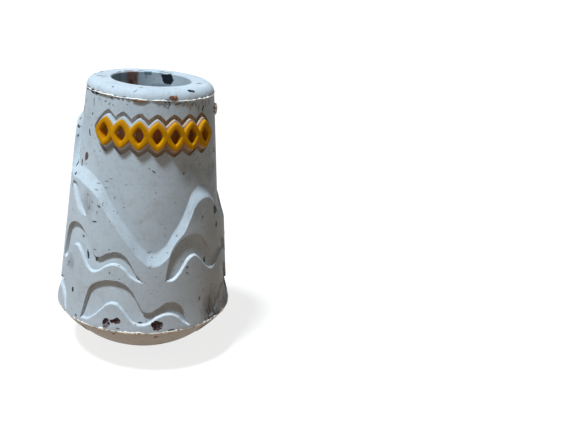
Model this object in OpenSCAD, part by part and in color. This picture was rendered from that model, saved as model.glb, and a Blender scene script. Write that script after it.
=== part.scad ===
// Rubber cane tip: a one-piece moulded ferrule with wave relief on its flank,
// a domed four-petal sole with a hexagonal standing stud, and a row of
// coloured lozenges let into its neck.
//
// Frame: millimetres, +Z along the cane towards the mouth, Z = 0 on the face
// of the stud.  Angles round the axis are counted from the front (-Y),
// positive towards +X.  Flank heights are counted from the rim of the foot.

/* [Main form] */
// Height of the flank, from the rim of the foot to the mouth
flank_h = 57.1; // [52:0.1:64]
// Depth of the domed sole below the rim, with its stud
sole_h = 11.8; // [10.5:0.1:13]
// Radius of the foot at its rim
foot_r = 22.2; // [20:0.1:25]
// Radius of the neck at the shoulder
shoulder_r = 15.1; // [14:0.1:17]
// Radius of the rounding between the shoulder and the mouth
shoulder_round = 2.2; // [1:0.1:3]

/* [Socket] */
// Diameter of the socket for the cane
socket_d = 19; // [16:0.1:20]
// Depth of the socket
socket_depth = 45; // [30:1:50]
// Chamfer at the mouth of the socket
socket_lead = 0.5; // [0.2:0.1:1]

/* [Flank relief] */
// Radius of the raised layer, carried down to the rim
layer_foot_r = 21.7; // [21.2:0.1:22]
// Radius that the raised layer loses for each millimetre of height
layer_taper = 0.095; // [0.08:0.001:0.1]
// Radius of the plain neck cone, carried down to the rim
neck_foot_r = 20; // [19.4:0.1:20.2]
// Height of the bevel between the layer and the neck
bevel_h = 2.8; // [2:0.1:4]
// Depth of the wave grooves
groove_depth = 0.9; // [0.4:0.1:1.2]
// Width of a groove's sloping walls
groove_wall = 0.6; // [0.4:0.1:1.4]
// Number of times that the pair of grooves repeats round the flank
groove_pairs = 4; // [2:1:4]

/* [Sole] */
// Width of the ledge where the sole meets the foot
rim_ledge = 0.15; // [0.1:0.05:0.4]
// Radius of the sphere that the sole follows
dome_r = 26.5; // [26:0.1:28]
// Height of the lowest point of the pocket's floor above the stud's face
floor_lift = 3.2; // [2.4:0.1:4.5]
// How far the lugs and crescents stay below the sphere of the sole
lug_drop = 0.8; // [0.4:0.1:1.5]
// Radius of the stud's face, across its corners
stud_r = 5.9; // [4:0.1:7]
// Radius of the stud at the foot of its bevels, across its corners
stud_foot_r = 8.3; // [7.5:0.1:9]
// Height of the stud's bevels
stud_bevel_h = 3.2; // [1.5:0.1:4]
// Angle that the stud is turned by
stud_turn = 20; // [0:1:60]

/* [Coloured band] */
// Number of lozenges in the row
lozenge_count = 7; // [3:1:9]
// Width of a lozenge
lozenge_w = 5.2; // [3:0.1:6]
// Height of a lozenge
lozenge_h = 6.6; // [4:0.1:8]
// Width of the stroke that a lozenge is drawn with
lozenge_stroke = 1.5; // [1.2:0.1:1.8]
// Angle between neighbouring lozenges
lozenge_pitch = 14.4; // [12:0.2:20]
// Height of the row above the rim
row_height = 47; // [42:0.5:50]
// Angle of the row's middle
row_angle = 6; // [-20:1:20]
// How far the lozenges stand out of the neck
row_proud = 1.3; // [0.5:0.1:2]
// How deep the lozenges are let into the neck
row_inset = 1; // [0.8:0.1:1.5]
// Width of the white lip round each lozenge
lip_w = 0.5; // [0.2:0.1:0.8]
// Height of the white lip above the neck
lip_h = 0.5; // [0.2:0.1:0.8]
// Width of the recess round the row, from the lozenges outwards
recess_w = 1.6; // [1.2:0.1:1.8]
// Depth of the recess
recess_depth = 0.6; // [0.2:0.1:0.7]

/* [Round pip] */
// Radius of the plain pip beside the row
pip_r = 1.2; // [0.6:0.1:1.8]
// How far the pip stands out of the neck
pip_proud = 0.5; // [0.2:0.1:1]
// Angle of the pip
pip_angle = 71; // [66:1:90]
// Height of the pip above the rim
pip_height = 51.2; // [46:0.1:52]

/* [Hidden] */
$fn = 120;

rubber_white = [0.76, 0.81, 0.84];
rubber_yellow = [0.86, 0.58, 0.03];

socket_r = socket_d / 2;
shoulder_z = flank_h - shoulder_round;
neck_taper = (neck_foot_r - shoulder_r) / shoulder_z;
dome_centre = sqrt(dome_r ^ 2 - (foot_r - rim_ledge) ^ 2);
clear = 1;

// Radius of the foot's flare: [height, radius]
flare = [[0, foot_r], [0.6, foot_r - 0.05], [2.2, foot_r - 0.45], [4.5, layer_foot_r - 4.5 * layer_taper]];
flare_h = flare[3][0];

// The layer stops inside the neck, below the shoulder
layer_top = shoulder_z - 2;

// Inner and outer radius of the ring that cuts the layer's upper edge
ring_in = shoulder_r - 1.6;
ring_out = foot_r + clear;
ring_steps = 144;

// Crisp outer edge of the raised layer: [angle, height], once round the flank
layer_edge = [
    [-130, 32.7], [-119, 34.7], [-110, 43.2], [-101, 46.2], [-92, 45.2], [-85, 37.7], [-77, 34],
    [-57, 33.8], [-42, 32.2], [-30, 28.3], [-12, 21.4], [-3, 18], [5, 16.5], [12, 17.6], [20, 21.2],
    [27, 24.3], [33, 28], [39, 31], [47, 31.8], [57, 30], [66, 26.6], [78, 23.6], [92, 23], [112, 28.2], [134, 32], [158, 26.7], [186, 17.4], [210, 24.7],
    [230, 32.7]];

// Edges of a high and a low groove: [angle from its start, height]
high_start = -76.5;
high_upper = [
    [0, 13.4], [2, 17.4], [6, 21.2], [12, 23], [20.5, 23.8], [26, 23.4], [31, 21.9], [38, 18.5],
    [42, 17.5], [50, 18.9], [57, 19.6], [62, 19], [66, 17.4], [71, 14.4], [76.5, 12.8]];
high_lower = [
    [0, 12.9], [4.5, 12.7], [9, 13.8], [14, 16.1], [18, 17.7], [21.5, 18.1], [25, 17.4], [31, 15.1],
    [35, 13.8], [39, 13.3], [44, 13.9], [50, 15.5], [56, 16.2], [61, 15.6], [67, 13.6], [76.5, 12.3]];
low_start = -43.7;
low_upper = [
    [0, 1.5], [2.5, 6.6], [6, 9.9], [12, 11.5], [21, 12.5], [28.5, 12.3], [34, 11], [40, 7.5],
    [45.5, 5.2], [52.5, 6.3], [60, 7.6], [66, 6.9], [70.5, 4.6], [75.4, 1.1]];
low_lower = [
    [0, 1], [4, 1.1], [9, 2.2], [16, 4.8], [20, 6.2], [23.5, 6.6], [27.5, 5.8], [33, 3.6],
    [38, 2.1], [42, 1.8], [47, 2.2], [53.5, 3.8], [58.5, 4.2], [64.5, 3.5], [70, 1.6], [75.4, 0.6]];

// The scallop under the left crest of the wave, which deepens upwards
scallop_start = -71;
scallop_upper = [[0, 32.8], [9, 32.3], [15, 30], [23.5, 26.8]];
scallop_lower = [[0, 31.5], [2.7, 29.6], [8, 27.6], [14, 26.2], [23.5, 26.2]];

// A side of the pocket, from its middle to a corner, as seen from below
pocket_side = [[0, 11.6], [4, 12.1], [8, 12.95], [12, 14], [15.2, 15.2]];

// Depth below the rim that the lugs are rooted at, inside the pocket's floor
lug_root = 2.6;

// The two lugs in a corner of the pocket: [angle, radius] of each point
left_lug = [[24, 12], [43.5, 17.6], [42, 11.8]];
right_lug = [[51.5, 11.9], [48.5, 17.7], [67, 11]];

// ---------------------------------------------------------------- functions

// Radius of the neck, of the raised layer and of the whole outside at a height
function neck_at(z) = neck_foot_r - neck_taper * z;
function layer_at(z) = layer_foot_r - layer_taper * z;
function skin_at(z) = z < flare_h ? lookup(z, flare) : layer_at(z);

// A point at an angle from the front
function at(a, r, z) = [r * sin(a), -r * cos(a), z];

// Smooth curve through the points p, each [angle, height]
function slope(p, i) =
    let (a = p[max(i - 1, 0)], b = p[min(i + 1, len(p) - 1)])
    (b[1] - a[1]) / (b[0] - a[0]);
function piece(p, a, i = 0) = i >= len(p) - 2 || a < p[i + 1][0] ? i : piece(p, a, i + 1);
function curve(p, a) =
    let (i = piece(p, a), w = p[i + 1][0] - p[i][0], t = (a - p[i][0]) / w)
    (2 * t ^ 3 - 3 * t ^ 2 + 1) * p[i][1]
    + (t ^ 3 - 2 * t ^ 2 + t) * w * slope(p, i)
    + (3 * t ^ 2 - 2 * t ^ 3) * p[i + 1][1]
    + (t ^ 3 - t ^ 2) * w * slope(p, i + 1);

// ------------------------------------------------------------------ helpers

module at_rim() translate([0, 0, sole_h]) children();

// A solid through n sections of m points each; a ring joins the last to the first
module loft(sections, ring = false) {
    n = len(sections);
    m = len(sections[0]);
    sides = [
        for (i = [0 : ring ? n - 1 : n - 2], j = [0 : m - 1])
            let (k = (i + 1) % n, l = (j + 1) % m)
            each [
                [i * m + j, k * m + j, k * m + l],
                [i * m + j, k * m + l, i * m + l]]];
    ends = ring ? [] : [
        [for (j = [0 : m - 1]) j],
        [for (j = [m - 1 : -1 : 0]) (n - 1) * m + j]];
    polyhedron(points = [for (s = sections) each s], faces = concat(sides, ends));
}

// The part below the rim of the sphere that the sole follows, shrunk by drop
module sole_sphere(drop = 0) {
    intersection() {
        translate([0, 0, dome_centre]) sphere(r = dome_r - drop, $fn = 180);
        translate([0, 0, -sole_h - clear]) cylinder(r = foot_r + clear, h = sole_h + clear);
    }
}

// A conical shell on the neck, from inset below its surface to proud above it
module neck_shell(inset, proud) {
    low = row_height - lozenge_h;
    high = row_height + lozenge_h;
    rotate_extrude()
        polygon([
            [neck_at(low) - inset, low], [neck_at(low) + proud, low],
            [neck_at(high) + proud, high], [neck_at(high) - inset, high]]);
}

// One upright lozenge with rounded corners, widened by grow all round
module lozenge(grow) {
    roundness = 1.5;
    function wave(x) = sign(x) * abs(x) ^ roundness;
    polygon([
        for (i = [0 : 23])
            [(lozenge_w / 2 + grow) * wave(cos(15 * i)), (lozenge_h / 2 + grow) * wave(sin(15 * i))]]);
}

// An open lozenge, drawn with a stroke
module open_lozenge(grow) {
    difference() {
        lozenge(grow);
        lozenge(-lozenge_stroke - grow);
    }
}

// A row of the outline that is passed, as radial prisms, cut to a shell of the neck
module row(inset, proud) {
    intersection() {
        neck_shell(inset, proud);
        union()
            for (i = [0 : lozenge_count - 1])
                rotate([0, 0, row_angle + (i - (lozenge_count - 1) / 2) * lozenge_pitch])
                    translate([0, -socket_r - clear, row_height])
                        rotate([90, 0, 0])
                            linear_extrude(height = foot_r - socket_r) children();
    }
}

// ------------------------------------------------------------------- flank

// The plain cone from the foot to the mouth, with its rounded shoulder
module neck() {
    steps = 8;
    centre_r = shoulder_r - shoulder_round;
    rotate_extrude()
        polygon(concat(
            [[0, flare_h], [neck_at(flare_h), flare_h]],
            [for (i = [0 : steps])
                [centre_r + shoulder_round * cos(90 * i / steps),
                 shoulder_z + shoulder_round * sin(90 * i / steps)]],
            [[0, flank_h]]));
}

// The space above the raised layer, whose underside is the sloping bevel
module above_layer() {
    loft(ring = true, sections = [
        for (i = [0 : ring_steps - 1])
            let (a = layer_edge[0][0] + i * 360 / ring_steps,
                 foot = curve(layer_edge, a),
                 top = foot + bevel_h,
                 pitch = bevel_h / (layer_at(foot) - neck_at(top)))
            [at(a, ring_in, top + pitch * (neck_at(top) - ring_in)),
             at(a, ring_in, flank_h + clear),
             at(a, ring_out, flank_h + clear),
             at(a, ring_out, foot - pitch * (ring_out - layer_at(foot)))]]);
}

module raised_layer() {
    difference() {
        rotate_extrude()
            polygon(concat(
                [[0, 0]],
                [for (p = flare) [p[1], p[0]]],
                [[layer_at(layer_top), layer_top], [0, layer_top]]));
        above_layer();
    }
}

// A groove between two curves: sloping walls, and a floor along the surface.
// With fade, the lower wall slopes all the way to the foot of the upper one.
module groove(start, upper, lower, fade = false) {
    steps = 36;
    least_gap = 0.5;
    wall_share = 0.45;
    span = upper[len(upper) - 1][0];
    loft([
        for (i = [0 : steps])
            let (a = span * i / steps,
                 low = curve(lower, a),
                 gap = max(curve(upper, a) - low, least_gap),
                 high = low + gap,
                 wall = min(groove_wall, wall_share * gap),
                 depth = groove_depth * wall / groove_wall,
                 slope = fade ? gap - wall - least_gap / 10 : wall)
            [at(start + a, skin_at(low) + clear, low - clear * slope / depth),
             at(start + a, skin_at(low) - depth, low + slope),
             at(start + a, skin_at(high) - depth, high - wall),
             at(start + a, skin_at(high) + clear, high + clear * wall / depth)]]);
}

module grooves() {
    for (i = [0 : groove_pairs - 1]) {
        rotate([0, 0, i * 360 / groove_pairs]) {
            groove(high_start, high_upper, high_lower);
            groove(low_start, low_upper, low_lower);
        }
    }
    groove(scallop_start, scallop_upper, scallop_lower, fade = true);
}

// A plain round pip on the neck
module pip() {
    rotate([0, 0, pip_angle])
        translate([0, 0, pip_height])
            rotate([90, 0, 0])
                cylinder(r = pip_r, h = neck_at(pip_height) + pip_proud);
}

// -------------------------------------------------------------------- sole

// Outline of the pocket that leaves the four petals standing
module pocket_outline() {
    last = len(pocket_side) - 1;
    back = [for (i = [last - 1 : -1 : 1]) [pocket_side[i][1], pocket_side[i][0]]];
    polygon([
        for (q = [0 : 3], p = concat(pocket_side, back))
            [p[0] * cos(90 * q) + p[1] * sin(90 * q), p[1] * cos(90 * q) - p[0] * sin(90 * q)]]);
}

// The floor's sphere passes just under the rim and through its lowest point
module pocket_floor() {
    low = sole_h - floor_lift;
    rim_drop = 0.4;
    reach = foot_r - 0.6;
    centre = (reach ^ 2 + rim_drop ^ 2 - low ^ 2) / (2 * (low - rim_drop));
    translate([0, 0, centre]) sphere(r = centre + low, $fn = 180);
}

module pocket() {
    difference() {
        translate([0, 0, -sole_h - clear]) linear_extrude(height = sole_h + clear) pocket_outline();
        pocket_floor();
    }
}

module lug_outline(points)
    polygon([for (p = points) [p[1] * sin(p[0]), -p[1] * cos(p[0])]]);

// A crescent before the point of each petal, which thins out to both ends
module crescent_outline() {
    steps = 10;
    reach = 25;
    outer = 10.7;
    inner = 9;
    function turned(i) = reach * (2 * i / steps - 1);
    function ring(r, a) = [r * sin(a), -r * cos(a)];
    polygon(concat(
        [for (i = [0 : steps]) ring(outer, turned(i))],
        [for (i = [steps - 1 : -1 : 1])
            ring(inner + (outer - inner) * (turned(i) / reach) ^ 4, turned(i))]));
}

module lugs() {
    intersection() {
        sole_sphere(lug_drop);
        translate([0, 0, -sole_h])
            linear_extrude(height = sole_h - lug_root)
                for (q = [0 : 3])
                    rotate(90 * q) {
                        lug_outline(left_lug);
                        lug_outline(right_lug);
                        crescent_outline();
                    }
    }
}

module stud() {
    translate([0, 0, -sole_h])
        rotate([0, 0, stud_turn]) {
            cylinder(r1 = stud_r, r2 = stud_foot_r, h = stud_bevel_h, $fn = 6);
            translate([0, 0, stud_bevel_h])
                cylinder(r = stud_foot_r, h = sole_h - stud_bevel_h, $fn = 6);
        }
}

module sole() {
    difference() {
        sole_sphere();
        pocket();
    }
    lugs();
    stud();
}

// ------------------------------------------------------------------ pieces

module socket() {
    translate([0, 0, flank_h - socket_depth]) cylinder(r = socket_r, h = socket_depth + clear);
    translate([0, 0, flank_h - socket_lead])
        cylinder(r1 = socket_r, r2 = socket_r + 2 * socket_lead, h = 2 * socket_lead);
}

module tip_body() {
    color(rubber_white)
        at_rim()
            difference() {
                union() {
                    difference() {
                        union() {
                            neck();
                            raised_layer();
                            sole();
                            pip();
                        }
                        grooves();
                        row(recess_depth, clear) lozenge(recess_w);
                    }
                    row(row_inset, lip_h) open_lozenge(lip_w);
                }
                row(row_inset, row_proud + clear) open_lozenge(0);
                socket();
            }
}

module coloured_band() {
    color(rubber_yellow)
        at_rim() row(row_inset, row_proud) open_lozenge(0);
}

tip_body();
coloured_band();
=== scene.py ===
# Looks of a one-piece rubber cane tip: a white moulded body with wave relief,
# rubber crumbs and moulding flash, and a row of yellow open lozenges.
#
# The node trees work in millimetres and degrees. Heights are counted from the
# rim of the foot, and angles from the front (-Y), positive towards +X. Each
# piece is scaled to metres and lifted to the frame as its tree ends.

import math

import bpy
from mathutils import Matrix, Vector

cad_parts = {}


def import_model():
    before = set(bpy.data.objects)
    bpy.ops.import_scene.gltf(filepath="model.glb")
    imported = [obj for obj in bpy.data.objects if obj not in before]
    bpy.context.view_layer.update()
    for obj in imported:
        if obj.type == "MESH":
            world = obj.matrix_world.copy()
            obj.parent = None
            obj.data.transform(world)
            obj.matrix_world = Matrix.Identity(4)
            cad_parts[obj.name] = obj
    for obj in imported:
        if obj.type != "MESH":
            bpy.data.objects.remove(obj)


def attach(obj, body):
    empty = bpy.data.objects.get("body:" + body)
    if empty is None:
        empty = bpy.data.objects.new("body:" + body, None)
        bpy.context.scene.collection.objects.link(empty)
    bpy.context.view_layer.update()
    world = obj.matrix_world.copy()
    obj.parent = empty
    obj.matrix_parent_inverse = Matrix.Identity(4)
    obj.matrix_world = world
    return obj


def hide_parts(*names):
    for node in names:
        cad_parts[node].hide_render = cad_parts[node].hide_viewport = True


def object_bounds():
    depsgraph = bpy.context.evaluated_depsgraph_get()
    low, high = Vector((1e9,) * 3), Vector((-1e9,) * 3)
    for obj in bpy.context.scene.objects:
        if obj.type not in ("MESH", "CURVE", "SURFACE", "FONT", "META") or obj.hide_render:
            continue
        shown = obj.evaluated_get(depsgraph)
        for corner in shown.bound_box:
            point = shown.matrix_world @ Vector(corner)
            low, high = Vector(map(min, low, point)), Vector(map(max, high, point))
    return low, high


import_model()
cad_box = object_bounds()
scene = bpy.context.scene

MM = 0.001
DEGREE = math.pi / 180
UP = Vector((0, 0, 1))
plain_white = (1, 1, 1, 1)

# Main form, with its height and its width from the frame
columns = 432
sole_h = 11.8
tip_h = cad_box[1].z / MM
flank_h = tip_h - sole_h
foot_r = cad_box[1].x / MM
rim_room = 0.12  # left for the flash at the rim
shell_r = foot_r - rim_room
shoulder_round = 2.2
shoulder_z = flank_h - shoulder_round
shoulder_r = 15.1
bore_r = 9.5
bore_depth = 45.0
bore_lead = 0.2

# Flank
layer_foot_r = 21.7
layer_taper = 0.095
neck_foot_r = 20
neck_taper = (neck_foot_r - shoulder_r) / shoulder_z
flare_h = 4.5
flare_w = 0.38
flare_line = [(0, flare_w), (0.13, 0.37), (0.49, 0.18), (1, 0.0)]  # (share of its height, width)
bevel_h = 2.8
bevel_rows = 9
bevel_hollow = 1.2  # over 1, the bevel is hollow
groove_depth = 0.9
groove_wall = 0.3
groove_foot = 0.42
groove_gap = (0.55, 1.3)  # a groove as low as the first is gone, as high as the second it is whole
least_gap = 0.3
wall_share = 0.45  # of a groove's height, the most that one of its walls takes
worn_groove = 0.6  # of its depth, what the lower groove has lost on the right
worn_start = (44, 46)
worn_end = (66, 90)
floor_rise = 0.72  # of its depth, what a floor has at its lower end
scallop_slope = 1.3  # height of the slope below the scallop's floor
scallop_rest = 0.4  # height of the scallop's rows where it is gone
scallop_gap = (0.3, 1)  # as groove_gap
scallop_fade = 5  # in degrees, how fast its rows part at its ends
scallop_end = 0.8  # in degrees, how fast it gets its depth there
ease = 0.12  # from an edge to the next row, so that it stays crisp
slope_reach = 0.8  # in degrees, to each side of the place where an edge's slope is taken
flank_middle_r = 21
flank_rows = 102  # what its stations add up to
skin_wave = 0.05

# Sole
rim_ledge = 0.15
dome_r = 26.5
dome_centre = math.sqrt(dome_r ** 2 - (foot_r - rim_ledge) ** 2)
stud_r = 5.9
stud_foot_r = 8.3
stud_bevel_h = 3.2
stud_turn = 20
pocket_floor_r = 32.55
pocket_floor_centre = 23.95
lug_drop = 0.8
lug_root = 2.6
lug_reach = 20.5
lug_soft = 0.5
lug_skirt = 9  # how far the lugs' sides would go up, where their root doesn't end them
lug_sharpness = 9

# Row of lozenges
lozenge_count = 7
lozenge_w = 5.2
lozenge_h = 6.6
lozenge_stroke = 1.5
lozenge_roundness = 1.5
lozenge_columns = 96
lozenge_pitch = 14.4
row_height = 47
row_angle = 6
row_r = neck_foot_r - neck_taper * row_height
row_proud = 1.3
row_soft = 0.45
row_inset = 1
lip_w = 0.5
lip_h = 0.5
lip_soft = 0.2
stroke_growth = 0.8  # of what a lozenge grows by, what its stroke widens by
recess_w = 1.6
recess_depth = 0.6
recess_top = 3.0

# Fins
fin_root = 0.1  # how deep they sit in the body

# Pip
pip_r = 1.5
pip_proud = 0.7
pip_angle = 80
pip_height = 51.2

# Crisp lower edge of the wave, once round the flank: (angle from its start, height)
wave_start = -130
wave_edge = [
    (0, 32.7), (11, 34.7), (20, 43.2), (29, 46.2), (38, 45.2), (45, 37.7), (53, 34), (73, 33.8),
    (88, 32.2), (100, 28.3), (118, 21.4), (127, 18), (135, 16.5), (142, 17.6), (150, 21.2), (157, 24.3),
    (163, 28), (169, 31), (177, 31.8), (187, 30), (196, 26.6), (208, 23.6), (222, 23), (242, 28.2),
    (264, 32), (288, 26.7), (316, 17.4), (340, 24.7), (360, 32.7)]

# Edges of the grooves and the scallop: (angle from their start, height)
groove_turn = 90
high_start = -76.5
high_upper = [
    (0, 13.4), (2, 17.4), (6, 21.2), (12, 23), (20.5, 23.8), (26, 23.4), (31, 21.9), (38, 18.5),
    (42, 17.5), (50, 18.9), (57, 19.6), (62, 19), (66, 17.4), (71, 14.4), (76.5, 12.8), (90, 12.8)]
high_lower = [
    (0, 12.9), (4.5, 12.7), (9, 13.8), (14, 16.1), (18, 17.7), (21.5, 18.1), (25, 17.4), (31, 15.1),
    (35, 13.8), (39, 13.3), (44, 13.9), (50, 15.5), (56, 16.2), (61, 15.6), (67, 13.6), (76.5, 12.3),
    (90, 12.3)]
low_start = -43.7
low_upper = [
    (0, 1.5), (2.5, 6.6), (6, 9.9), (12, 11.5), (21, 12.5), (28.5, 12.3), (34, 11), (40, 7.5),
    (45.5, 5.2), (52.5, 6.3), (60, 7.6), (66, 6.9), (70.5, 4.6), (75.4, 1.1), (90, 1.1)]
low_lower = [
    (0, 1), (4, 1.1), (9, 2.2), (16, 4.8), (20, 6.2), (23.5, 6.6), (27.5, 5.8), (33, 3.6), (38, 2.1),
    (42, 1.8), (47, 2.2), (53.5, 3.8), (58.5, 4.2), (64.5, 3.5), (70, 1.6), (75.4, 0.6), (90, 0.6)]
scallop_start = -71
scallop_span = 23.5
scallop_upper = [(0, 32.8), (9, 32.3), (15, 30), (23.5, 26.8)]
scallop_lower = [(0, 31.8), (2.7, 30.4), (8, 28.5), (14, 26.8), (23.5, 26.2)]

# Lugs in a corner of the sole's pocket: (angle, radius) of each point
left_lug = [(24, 12), (43.5, 17.6), (42, 11.8)]
right_lug = [(51.5, 11.9), (48.5, 17.7), (67, 11)]
crescent_outer = 10.7
crescent_inner = 9
crescent_reach = 25

# Crumbs, stains and blisters set one by one on the flank: (angle, height, length, width, turn)
flank_crumbs = [
    (-78, 55.3, 2, 0.35, 0), (-70, 55.4, 2.4, 0.3, 0), (-60, 55.2, 2, 0.35, 4), (-42, 55.3, 1.6, 0.25, 0),
    (-52, 55.3, 1.1, 0.4, 0), (-35, 54.5, 0.7, 0.4, 30), (-28, 54.6, 0.7, 0.35, -40),
    (25, 54.4, 1.2, 0.2, 3), (-73, 54.9, 0.8, 0.8, 0), (-61, 54.7, 1.9, 0.9, -12),
    (-53, 54.8, 1.6, 0.8, 0), (-46, 55.2, 0.8, 0.35, 0), (-32, 55.1, 1.1, 0.4, 0),
    (-23, 55.3, 0.8, 0.3, 0), (-24, 54.6, 0.8, 0.45, -30), (13, 55, 1.3, 0.5, 40),
    (14, 55, 1.3, 0.5, -40), (16, 54.3, 0.9, 0.35, 70), (14.5, 53.6, 0.5, 0.4, 0),
    (31, 54.8, 0.6, 0.5, 90), (-81, 49.5, 1.9, 0.9, 85), (-91, 46.4, 1.1, 0.5, 90),
    (-90, 44.4, 0.9, 0.6, 0), (-57, 49.8, 0.6, 0.5, 45), (-88, 42.3, 0.9, 0.4, 90),
    (-59, 45.3, 1.8, 0.45, -65), (-78, 36.3, 1.4, 0.5, 90), (-71, 34.1, 0.9, 0.8, 90),
    (-64, 32.4, 1.8, 1.2, -70), (4, 38.9, 1.2, 0.3, -35), (29, 38.2, 0.75, 0.4, 100),
    (34, 51.4, 0.5, 0.4, 90), (51.5, 52.8, 1.6, 0.5, 65), (-35.6, 29.5, 1.1, 0.4, -10),
    (-38.5, 25.6, 1.2, 0.4, 10), (-51, 20.8, 0.7, 0.6, 0), (-44, 16.9, 2.3, 0.6, -70),
    (-36, 16.4, 1.1, 0.6, 80), (-25, 19.8, 0.5, 0.3, 0), (-24, 14.1, 0.5, 0.5, 0),
    (-55, 6.7, 1.4, 0.9, 85), (-64, 12.6, 1, 0.5, 20), (-66, 11.5, 0.7, 0.4, 60), (22, 31.5, 0.4, 0.4, 0),
    (22, 23.6, 0.55, 0.35, 90), (59, 27.9, 2.2, 1.5, 85), (60, 23.8, 1.9, 0.7, 85),
    (46, 16, 1.7, 0.65, 80), (43, 27.3, 0.7, 0.5, 90), (46, 39.7, 0.4, 0.4, 0), (-2.2, 2.3, 1.2, 0.5, 5),
    (29, 15.7, 0.8, 0.5, 20), (29, 14.2, 0.8, 0.3, -30), (39, 6.7, 1.2, 0.4, 70),
    (72, 41.6, 1.2, 0.6, 90), (39, 43.6, 0.9, 0.4, 0), (52, 8.8, 0.6, 0.5, 0), (-19, -0.7, 0.9, 0.5, 0),
    (-48, 0.9, 0.9, 0.5, 0), (-16, 0.7, 1.1, 0.3, 0), (17, 0.4, 1.8, 0.35, 5), (5.3, 0.7, 0.6, 0.5, 0)]
faint_crumbs = [
    (-56, 52.6, 2.2, 0.35, 88), (-41, 53.5, 0.7, 0.4, 30), (-37, 53.1, 0.8, 0.4, 60),
    (-33, 53, 0.5, 0.3, 0), (-49, 53.7, 0.9, 0.4, -30), (-57, 47.2, 0.5, 0.4, 0),
    (-68, 40.8, 0.8, 0.3, 90), (-43, 42, 0.6, 0.4, 0), (-61, 48.6, 0.5, 0.3, 90), (-75, 52, 1.2, 0.3, 80),
    (-50, 44.5, 0.4, 0.3, 0), (-20, 53.6, 0.5, 0.3, 0), (2.6, 19.8, 0.9, 0.3, 25),
    (4.4, 18.8, 0.5, 0.4, 0), (3, 16.3, 0.7, 0.3, 0), (15, 19.6, 0.5, 0.35, 0), (-26, 32, 0.7, 0.5, 90),
    (-41, 34.7, 1.1, 0.25, 5), (-34, 35.4, 1.3, 0.3, 10), (-34, 33.9, 0.9, 0.3, 0),
    (-41, 33, 0.9, 0.3, 5), (-42, 30.1, 0.6, 0.5, 0), (-37, 28, 0.6, 0.5, 90), (-18, 30, 0.5, 0.4, 0),
    (-17, 35.4, 0.5, 0.3, 0), (-45, 28.5, 1.1, 0.6, 60), (-47, 31.5, 0.9, 0.4, 20),
    (-30, 36.2, 1.2, 0.25, 5), (6, 34, 0.4, 0.3, 0)]
flank_stains = [
    (-61, 39.3, 2.1, 1.6, 60), (-69, 37.3, 1.6, 0.8, 75), (-19, 12.1, 0.8, 0.5, 0),
    (8.4, -1.6, 1.2, 0.8, 0)]
faint_stains = [
    (33, 54.2, 0.9, 0.3, 100), (36, 53.6, 1.7, 0.35, 80), (38.5, 54.1, 1, 0.5, 60),
    (42, 53.9, 1.2, 0.3, 110), (45.5, 53.2, 1.8, 0.35, 75), (50.5, 54.2, 1.2, 0.3, 95),
    (56, 53.5, 1.6, 0.3, 100), (23, 54.3, 1.3, 0.4, 10), (29, 54.1, 1, 0.5, 60), (62, 53.8, 1.4, 0.4, 90)]
blisters = [(19.8, 55.9, 2.1, 1.2, 0), (-10, 54.75, 3.4, 0.6, 0)]

# The same on the ring round the mouth, counted on past the shoulder towards the axis
mouth_crumbs = [
    (40, 58.1, 1.7, 1.2, 160), (-37, 57.8, 0.7, 0.4, 0), (-85, 60.6, 2.6, 0.35, 90),
    (-112, 59.3, 1.1, 0.5, 70), (77, 60.7, 1.4, 0.6, 80), (88, 59.5, 0.8, 0.2, 80),
    (-14, 57.6, 1.4, 0.2, 60), (-11, 60, 1.1, 0.35, 0), (-145, 62.1, 3, 0.6, 0),
    (-128, 62.2, 1.6, 0.4, 0), (158, 62.1, 3.4, 0.35, 0), (168, 61.6, 1.8, 0.3, 0),
    (-165, 61.9, 1.6, 0.3, 0), (-100, 58.6, 1.2, 0.4, 0)]

# Stains on the wall of the bore, the first of them painted shade on its left, away from the light: convex
# outline of (angle, height), softness, strength, colour
bore_stains_and_shade = [
    # Painted shade on the left of the bore, away from the light
    ([(226, 50), (275, 50), (275, 58), (226, 58)], 1.2, 0.38, (0.06, 0.05, 0.045, 1)),
    ([(212, 50), (230, 50), (230, 58), (212, 58)], 1, 0.35, (0.4, 0.25, 0.17, 1)),
    ([(199, 50), (221, 50), (221, 57.4), (199, 57.4)], 0.6, 0.88, (0.3, 0.13, 0.08, 1)),
    ([(206, 52.5), (219, 52.5), (216, 55.4), (207, 55.2)], 0.5, 0.75, (0.07, 0.03, 0.026, 1)),
    ([(201, 54.2), (208, 54.2), (207, 56.4), (202, 56)], 0.4, 0.5, (0.09, 0.05, 0.05, 1)),
    ([(179, 56.1), (192, 56), (193, 57.2), (180, 57.2)], 0.3, 0.85, (0.10, 0.21, 0.25, 1)),
    ([(186, 55.2), (190, 55.4), (192, 56.4), (187, 56.4)], 0.3, 0.6, (0.12, 0.23, 0.27, 1)),
    ([(163, 56.3), (171, 56.5), (170, 57.2), (163, 57.2)], 0.3, 0.6, (0.1, 0.19, 0.2, 1)),
    ([(147, 52.5), (182, 52.5), (180, 54.3), (149, 54.7)], 0.6, 0.5, (0.1, 0.15, 0.18, 1)),
    ([(145, 55.6), (149.5, 54.2), (162, 54.4), (167, 56.6), (149, 57.2)],
     0.15, 1, (0.008, 0.016, 0.023, 1))]

# Dark streaky patches, scuff marks on the left and painted shade on the right half, where the light falls
# away: (angle, radius, height), reach, strength
scuffs_and_shade = [
    ((51, 21.9, 1.5), (4.5, 5.5, 8), 0.95), ((93, 21.8, 3), (9, 13, 9), 1.05),
    ((52, 21.9, 0), (4, 3.5, 1.3), 1), ((76, 21.9, 1), (5, 6, 5.5), 1),
    ((-46, 19.5, 29.5), (2.4, 3, 4), 0.4), ((-61, 20.5, 13), (2.6, 3, 2.6), 0.42),
    ((36, 16.5, 38), (4, 6, 4), 0.3), ((37, 18.5, 29), (3.5, 5, 4), 0.25), ((66, 17, 37), (5, 5, 3), 0.5)]

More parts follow.
